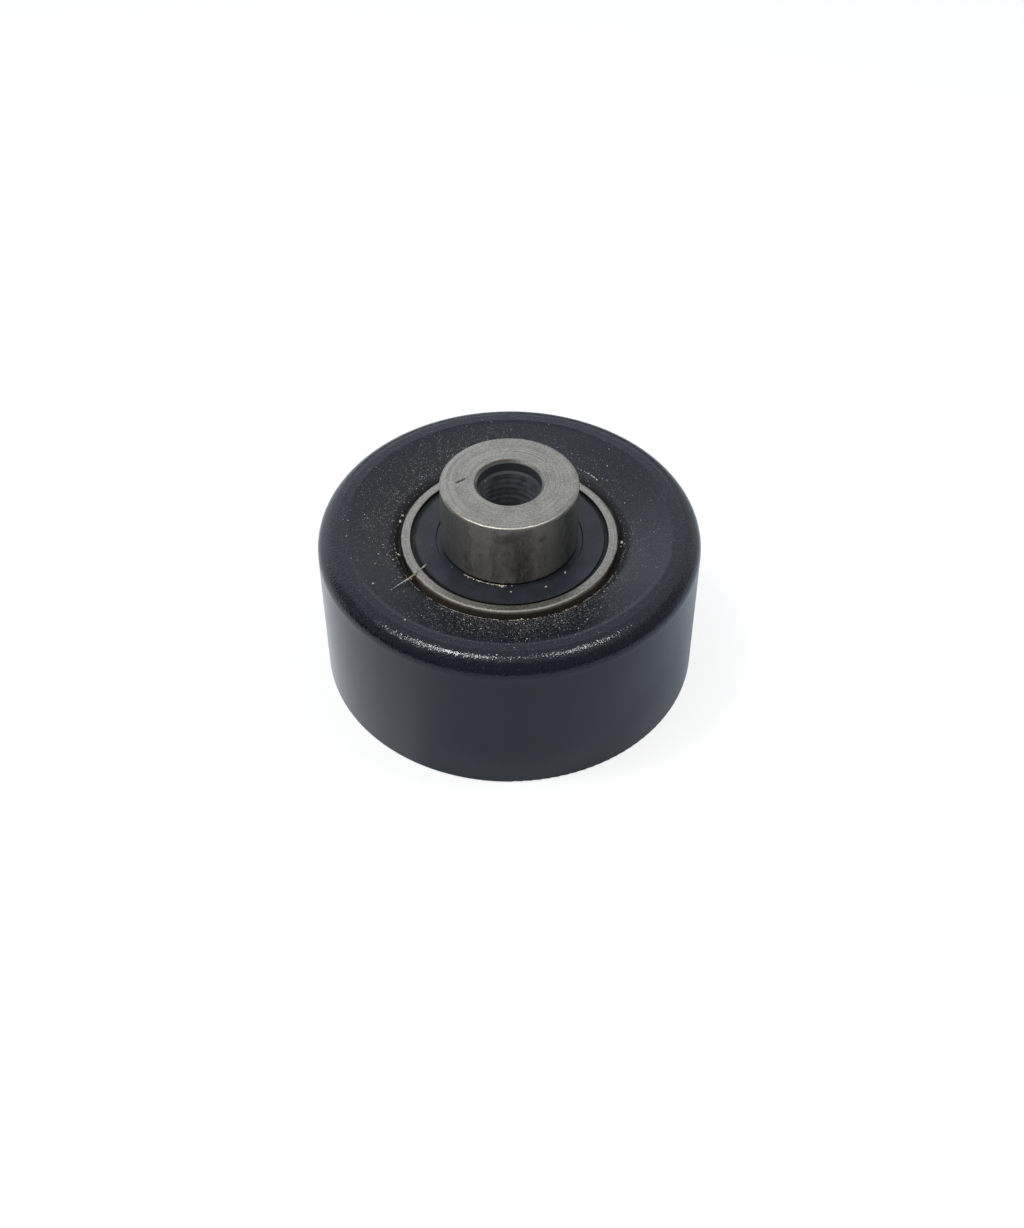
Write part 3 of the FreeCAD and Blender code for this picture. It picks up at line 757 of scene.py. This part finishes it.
def threaded_bush(material):
    """The spacer bush again, with its thread cut."""
    counterbore = MINOR_RADIUS + COUNTERBORE_REACH
    section = [
        (counterbore, BUSH_TOP - COUNTERBORE_DEPTH),
        (counterbore, BUSH_TOP - COUNTERSINK),
        (counterbore + COUNTERSINK, BUSH_TOP),
    ]
    for i in range(ROUNDING_STEPS + 1):
        angle = math.radians(90 - 90 * i / ROUNDING_STEPS)
        section.append((COLLAR_RADIUS - COLLAR_ROUNDING * (1 - math.cos(angle)),
                        BUSH_TOP - COLLAR_ROUNDING * (1 - math.sin(angle))))
    section += [
        (COLLAR_RADIUS, BEARING_TOP),
        (SHANK_RADIUS, BEARING_TOP),
        (SHANK_RADIUS, BUSH_FOOT + SHANK_CHAMFER),
        (SHANK_RADIUS - SHANK_CHAMFER, BUSH_FOOT),
        (MINOR_RADIUS + COUNTERSINK, BUSH_FOOT),
    ]
    rings = thread_rings(BUSH_FOOT + COUNTERSINK, THREAD_TOP)
    for radius, height in section:
        rings.append([around(radius, height, math.tau * i / BUSH_COLUMNS) for i in range(BUSH_COLUMNS)])
    bush = new_piece("threaded_bush", join_rings("threaded_bush", rings), material, "spindle")
    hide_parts("spacer_bush")


GRIME_COLUMNS = 420
GRIME_LOW = 26.2 * MM
GRIME_RISE = 0.9 * MM
GRIME_DEPTH = 0.7 * MM
# Radius just inside the ring where the grime starts, and how far it reaches into the lip to leave no gap
GRIME_INSIDE = RING_RADIUS - 0.03 * MM
GRIME_IN_LIP = 0.05 * MM
# Share of the way from the ring to the lip, and how much the grime rises there in millimetres
GRIME_SECTION = ((0.0, 0.18), (0.3, 0.02), (0.6, -0.03), (1.0, 0.25))


def lip_at(height):
    """Radius of the shell's lip at a height below its crest."""
    return LIP_CENTRE[0] - math.sqrt(LIP_RADIUS ** 2 - (height - LIP_CENTRE[1]) ** 2)


def groove_grime(material):
    """Lumpy dirt in the groove between the ring and the shell's lip, lowest at the front."""
    rings = []
    for column in range(GRIME_COLUMNS):
        angle = math.tau * column / GRIME_COLUMNS
        behind = 0.5 + 0.5 * math.sin(angle)
        wave = noise.noise(around(3.0, 0.0, angle)) * 0.2 + noise.noise(around(14.0, 4.0, angle)) * 0.16
        level = GRIME_LOW + GRIME_RISE * ease(behind + 0.1) + wave * MM
        ring = []
        for share, lift in GRIME_SECTION:
            lump = noise.noise(around(26.0, 9.0 * share, angle)) * 0.13
            height = level + (lift + lump) * MM
            outer = lip_at(height) + GRIME_IN_LIP
            ring.append(around(GRIME_INSIDE + (outer - GRIME_INSIDE) * share, height, angle))
        low = level - GRIME_DEPTH
        ring.append(around(lip_at(low) + GRIME_IN_LIP, low, angle))
        ring.append(around(GRIME_INSIDE, low, angle))
        rings.append(ring)
    new_piece("groove_grime", join_rings("groove_grime", rings), material, "pulley", 60)


# Ranges of a grain's length, width, height and lumps, and how high its middle lies, as shares of its size
GRAIN_STRETCH = ((0.8, 1.3), (0.7, 1.0), (0.45, 0.8))
GRAIN_LUMPS = (0.65, 1.3)
GRAIN_SEAT = 0.18


class Grains:
    """Loose irregular grains, gathered into one piece on the pulley."""

    def __init__(self, seed):
        self.chance = random.Random(seed)
        self.points = []
        self.faces = []
        shape = bmesh.new()
        bmesh.ops.create_icosphere(shape, subdivisions=1, radius=0.5)
        self.form = [vertex.co.copy() for vertex in shape.verts]
        self.sides = [[vertex.index for vertex in face.verts] for face in shape.faces]
        shape.free()

    def add(self, place, normal, size):
        """A grain lying on a surface."""
        pick = self.chance.uniform
        stretch = Matrix.Diagonal([pick(*ends) for ends in GRAIN_STRETCH]).to_4x4()
        spin = Matrix.Rotation(pick(0, math.tau), 4, "Z")
        lean = normal.to_track_quat("Z", "Y").to_matrix().to_4x4()
        seat = Matrix.Translation(place + normal * size * GRAIN_SEAT)
        form = seat @ lean @ spin @ Matrix.Scale(size, 4) @ stretch
        first = len(self.points)
        self.points += [form @ (point * pick(*GRAIN_LUMPS)) for point in self.form]
        self.faces += [[first + index for index in side] for side in self.sides]

    def piece(self, name, material):
        mesh = bpy.data.meshes.new(name)
        mesh.from_pydata(self.points, [], self.faces)
        new_piece(name, mesh, material, "pulley", 20)


# Radii between which the dust that lies on the lip only at the front sets in all round
BARE_LIP = (RING_RADIUS + 1.4 * MM, RING_RADIUS + 2.2 * MM)
# Radii between which loose grains lie
DUST_REACH = (RING_RADIUS + 1.0 * MM, RIM_RADIUS - 3.6 * MM)


def dustiness(x, y):
    """How much dust lies at a place on the shell's top, from 0 to 1."""
    outward = Vector((x, y)).normalized()
    radius = math.hypot(x, y)
    front = ease(outward @ Vector(DUSTY_FRONT).normalized(), *FRONT_SPREAD)
    back = ease(outward @ Vector(DUSTY_BACK).normalized(), *BACK_SPREAD)
    near_ring = ease(radius, *NEAR_RING)
    bare_lip = ease(radius, *BARE_LIP)
    return (0.25 + max(0.75 * front, 0.36 * back)) * (0.25 + 0.75 * near_ring) * max(front, bare_lip)


def dust_grains(name, material, seed, count, sizes):
    """Loose grains over the land and the dish, thickest near the ring, with sizes in millimetres."""
    grains = Grains(seed)
    pick = grains.chance
    for _ in range(count):
        place = None
        while place is None or pick.random() > dustiness(place.x, place.y):
            radius = pick.uniform(*DUST_REACH)
            place = around(radius, 0, pick.uniform(0, math.tau))
        size = sizes[0] + (sizes[1] - sizes[0]) * pick.random() ** 2
        grains.add(*under_point(place.x, place.y), size * MM)
    grains.piece(name, material)


def along_line(pixels, count, chance):
    """Random pixels along a line, count of them in each of its runs."""
    for (column, row), (next_column, next_row) in zip(pixels, pixels[1:]):
        for _ in range(count):
            share = chance.random()
            yield column + (next_column - column) * share, row + (next_row - row) * share


# Grains of the line along the lip, stray ones near it, and grains in each run of the line behind the
# collar, which are dust and painted highlight sparkles
LIP_COUNT = 900
STRAY_COUNT = 260
LIP_SPARKLE_COUNT = 5
# Sizes of the grains in millimetres
LIP_GRAIN = (0.08, 0.2)
LIP_SPARKLE_GRAIN = (0.14, 0.3)
# Middle and spread of the line along the lip, in degrees round the axis and in millimetres from the ring
LIP_ANGLE = (-92, 40)
LIP_REACH = (1.1, 0.1)
STRAY_REACH = (0.9, 2.3)
# The line breaks where noise along it falls below this
LIP_BREAK = -0.12
# Pixels along a line of pale grains on the lip behind the collar: dust and painted highlight sparkles
LIP_SPARKLE_LINE = ((578, 468.5), (583, 471), (588, 473.5), (593, 476.5), (598, 480.5))


def lip_dust_and_sparkles(material):
    """A broken line of pale dust on the crest of the shell's lip, mostly at the front, stray grains, and a
    line of pale grains behind the collar that is dust and painted highlight sparkles.
    """
    grains = Grains(11)
    pick = grains.chance
    for _ in range(LIP_COUNT):
        angle = math.radians(pick.gauss(*LIP_ANGLE))
        if noise.noise(around(9.0, 2.0, angle)) < LIP_BREAK:
            continue
        place = around(RING_RADIUS + pick.gauss(*LIP_REACH) * MM, 0, angle)
        grains.add(*under_point(place.x, place.y), pick.uniform(*LIP_GRAIN) * MM)
    for _ in range(STRAY_COUNT):
        place = around(RING_RADIUS + pick.uniform(*STRAY_REACH) * MM, 0, pick.uniform(0, math.tau))
        grains.add(*under_point(place.x, place.y), pick.uniform(*LIP_GRAIN) * MM)
    # Pale grains behind the collar: dust, and painted highlight sparkles on the lip's crest.
    for pixel in along_line(LIP_SPARKLE_LINE, LIP_SPARKLE_COUNT, pick):
        grains.add(*under_pixel(*pixel), pick.uniform(*LIP_SPARKLE_GRAIN) * MM)
    grains.piece("lip_dust_and_sparkles", material)


# Pixels of the photograph at the larger crumbs, and their sizes in millimetres
CRUMBS_AND_SPARKLES = (
    (503, 583.5, 0.75), (500, 581.5, 0.4), (506, 581.5, 0.35), (494, 581, 0.3), (488, 580, 0.35),
    (481, 578.5, 0.4), (475, 576.5, 0.35), (470, 574.5, 0.45), (467, 573, 0.3), (512, 582, 0.3),
    (522, 620, 0.6), (518, 620.5, 0.45), (528, 619.5, 0.35), (400, 522, 0.6), (402.5, 516, 0.5),
    (398.5, 555.5, 0.8), (396, 553, 0.4), (622, 543, 0.65), (621, 547, 0.4), (393, 560, 0.4),
    (511, 592, 0.4), (546, 587, 0.35), (565, 573, 0.5), (452, 567, 0.25), (432, 545, 0.25),
    (373, 584, 0.5), (405, 620, 0.4), (387, 555, 0.3), (383, 545, 0.35), (497, 655, 0.3),
    # The first three on the next line are pale grains that stand for painted highlight sparkles on the
    # lip's bend.
    (591, 475.5, 0.3), (594.5, 478, 0.4), (597, 480, 0.3), (412, 576.5, 0.45), (409, 578.5, 0.35),
)
# Pixels along a line of fine crumbs at the collar's foot, how many each run has, and their sizes
FOOT_LINE = ((465.5, 572.3), (474, 576.2), (484, 579.6), (494, 582), (503, 583.2))
FOOT_COUNT = 14
FOOT_GRAIN = (0.12, 0.3)


def crumbs_and_sparkles(material):
    """The larger crumbs that the photograph shows one by one, three of them pale grains for painted
    highlight sparkles on the lip, and the line at the collar's foot.
    """
    grains = Grains(3)
    pick = grains.chance
    wanted = list(CRUMBS_AND_SPARKLES)
    for column, row in along_line(FOOT_LINE, FOOT_COUNT, pick):
        wanted.append((column, row, pick.uniform(*FOOT_GRAIN)))
    for column, row, size in wanted:
        place, normal = under_pixel(column, row)
        if place.xy.length < COLLAR_RADIUS + 0.1 * MM:
            # Seen against the collar or just under it, so it lies at the collar's foot
            place, normal = under_point(*place.xy.normalized() * (COLLAR_RADIUS + 0.6 * size * MM))
        elif normal.z < 0.3:
            # Seen against another upright wall, so it lies at the wall's foot
            place = place + normal * size * 0.7 * MM
            place, normal = under_point(place.x, place.y)
        grains.add(place, normal, size * MM)
    grains.piece("crumbs_and_sparkles", material)


# Pixels along a straw that rests on the dish and the ring, its height and its half width in millimetres
STRAW = (
    (393.0, 588.5, 29.47, 0.03), (399.0, 584.5, 29.22, 0.07), (405.0, 580.7, 29.01, 0.08),
    (409.5, 578.4, 28.88, 0.19), (412.0, 576.2, 28.83, 0.12), (414.5, 574.6, 28.73, 0.17),
    (417.0, 571.8, 28.57, 0.05), (421.0, 568.8, 28.55, 0.04), (423.5, 566.8, 28.60, 0.12),
    (426.0, 564.6, 28.62, 0.06),
)
STRAW_SIDES = 8
# How much wider and flatter than round the straw is
STRAW_SPREAD = 1.3
STRAW_RISE = 0.8


def straw(material):
    """A dry straw, stiff enough to bridge the groove."""
    path = [at_height(column, row, height * MM) for column, row, height, _ in STRAW]
    rings = []
    for i, point in enumerate(path):
        along = (path[min(i + 1, len(path) - 1)] - path[max(i - 1, 0)]).normalized()
        side = along.cross(Vector((0, 0, 1))).normalized()
        rise = side.cross(along)
        width = STRAW[i][3] * MM
        ring = []
        for k in range(STRAW_SIDES):
            turn = math.tau * k / STRAW_SIDES
            offset = side * math.cos(turn) * STRAW_SPREAD + rise * math.sin(turn) * STRAW_RISE
            ring.append(point + offset * width)
        rings.append(ring)
    new_piece("straw", join_rings("straw", rings, closed=False), material, "pulley", 50)


# Floor and light

FLOOR_HALF = 6.0
# The floor lies just under the rim's edge, so that the two never share a plane
FLOOR_GAP = 0.02 * MM


def add_floor(material):
    half = FLOOR_HALF
    level = cad_box[0].z - FLOOR_GAP
    mesh = bpy.data.meshes.new("floor")
    corners = [(-half, -half, level), (half, -half, level), (half, half, level), (-half, half, level)]
    mesh.from_pydata(corners, [], [(0, 1, 2, 3)])
    floor = bpy.data.objects.new("floor", mesh)
    bpy.context.scene.collection.objects.link(floor)
    mesh.materials.append(material)


STRIP_HEIGHT = 0.45
# Name, ends in plan, width and power of the lamps that sparkle along the front of the rim
STRIPS = (
    ("strip_left", ((-0.370, -0.080), (-0.165, -0.045)), 0.035, 0.33),
    ("strip_bright", ((-0.165, -0.042), (-0.112, -0.038)), 0.050, 0.42),
    ("strip_middle", ((-0.112, -0.042), (-0.030, -0.080)), 0.045, 0.25),
    ("strip_right", ((0.098, -0.030), (0.190, -0.020)), 0.040, 0.36),
)


def add_strip(name, start, end, width, power):
    """A lamp in the form of a strip between two points, turned towards the object."""
    lamp = bpy.data.lights.new(name, "AREA")
    lamp.shape = "RECTANGLE"
    along = end - start
    lamp.size = along.length
    lamp.size_y = width
    lamp.energy = power
    strip = bpy.data.objects.new(name, lamp)
    bpy.context.scene.collection.objects.link(strip)
    middle = (start + end) / 2
    along.normalize()
    back = middle - Vector((0, 0, LAND_HEIGHT))
    back = (back - along * back.dot(along)).normalized()
    turn = Matrix((along, back.cross(along), back)).transposed()
    strip.matrix_world = Matrix.Translation(middle) @ turn.to_4x4()


# Brightness of the tent's parts
WALL_RIGHT = (0.71, 0.730, 0.75)
WALL_LEFT = (1.07, 1.125, 1.24)
WALL_BEHIND = (1.68, 1.76, 2.12)
WALL_SIDES = (0.28, 0.285, 0.30)
HORIZON = (0.085, 0.088, 0.098)
CEILING_MIDDLE = (0.21, 0.22, 0.235)
CEILING_SIDES = (0.70, 0.72, 0.76)
CEILING_TOP = (0.62, 0.65, 0.72)
OPEN_FRONT = (0.25, 0.255, 0.275)


def sine(degrees):
    return math.sin(math.radians(degrees))


def light_tent():
    """Soft light from pale walls, brightest behind, with a dimmer ceiling, front and low horizon."""
    world = bpy.data.worlds.new("light_tent")
    tree = Tree(world, "OutputWorld")
    direction = tree.node("TexCoord").outputs["Generated"]
    across = tree.axis(direction, "X")
    depth = tree.axis(direction, "Y")
    height = tree.axis(direction, "Z")
    sideways = tree.math("ABSOLUTE", across)
    walls = tree.mix(tree.step(across, 0.07, -0.07), WALL_RIGHT, WALL_LEFT)
    behind = tree.product(tree.step(depth, 0.735, 0.785), tree.step(height, sine(28), sine(36)),
                          tree.step(sideways, 0.32, 0.18))
    walls = tree.mix(behind, walls, WALL_BEHIND)
    walls = tree.mix(tree.step(depth, 0.55, 0.25), walls, WALL_SIDES)
    lit = tree.largest(tree.step(height, sine(10.5), sine(18.5)), tree.step(sideways, 0.3, 0.5))
    tone = tree.mix(lit, HORIZON, walls)
    dim = tree.mix(tree.step(sideways, 0.05, 0.25), CEILING_MIDDLE, CEILING_SIDES)
    ceiling = tree.mix(tree.step(height, sine(48), sine(60)), dim, CEILING_TOP)
    tone = tree.mix(tree.step(height, sine(39.5), sine(45.5)), tone, ceiling)
    tone = tree.mix(tree.step(depth, -0.35, -0.6), tone, OPEN_FRONT)
    tone = tree.mix(tree.node("LightPath").outputs["Is Camera Ray"], tone, WHITE)
    background = tree.node("Background", {"Color": tone})
    tree.links.new(background.outputs[0], tree.output.inputs["Surface"])
    bpy.context.scene.world = world


give(shell_coat(), "pulley_shell")
give(seal_rubber(), "upper_seal", "lower_seal")
give(ring_steel(), "bearing_outer_ring", "bearing_inner_ring")
give(cage_steel(), "cage_upper_half", "cage_lower_half", "cage_rivets")
give(ball_steel(), *[name for name in nodes if name.startswith("ball_")])
turned = bush_steel()
give(turned, "spacer_bush")
threaded_bush(turned)
groove_grime(dirt("grime", GRIME_TONES, 0.8 * MM))
fine_dust = dirt("fine_dust", FINE_TONES, 0.4 * MM)
dust_grains("fine_dust", fine_dust, seed=7, count=3000, sizes=(0.09, 0.18))
pale_dust = dirt("pale_dust", PALE_TONES, 0.7 * MM)
dust_grains("pale_specks", pale_dust, seed=8, count=560, sizes=(0.08, 0.30))
lip_dust_and_sparkles(pale_dust)
crumbs_and_sparkles(dirt("crumb", CRUMB_TONES, 0.5 * MM))
straw(straw_fibre())

add_floor(floor_paper())
for name, (start, end), width, power in STRIPS:
    add_strip(name, Vector((*start, STRIP_HEIGHT)), Vector((*end, STRIP_HEIGHT)), width, power)
light_tent()
add_camera()
bpy.context.scene.view_settings.view_transform = "Standard"
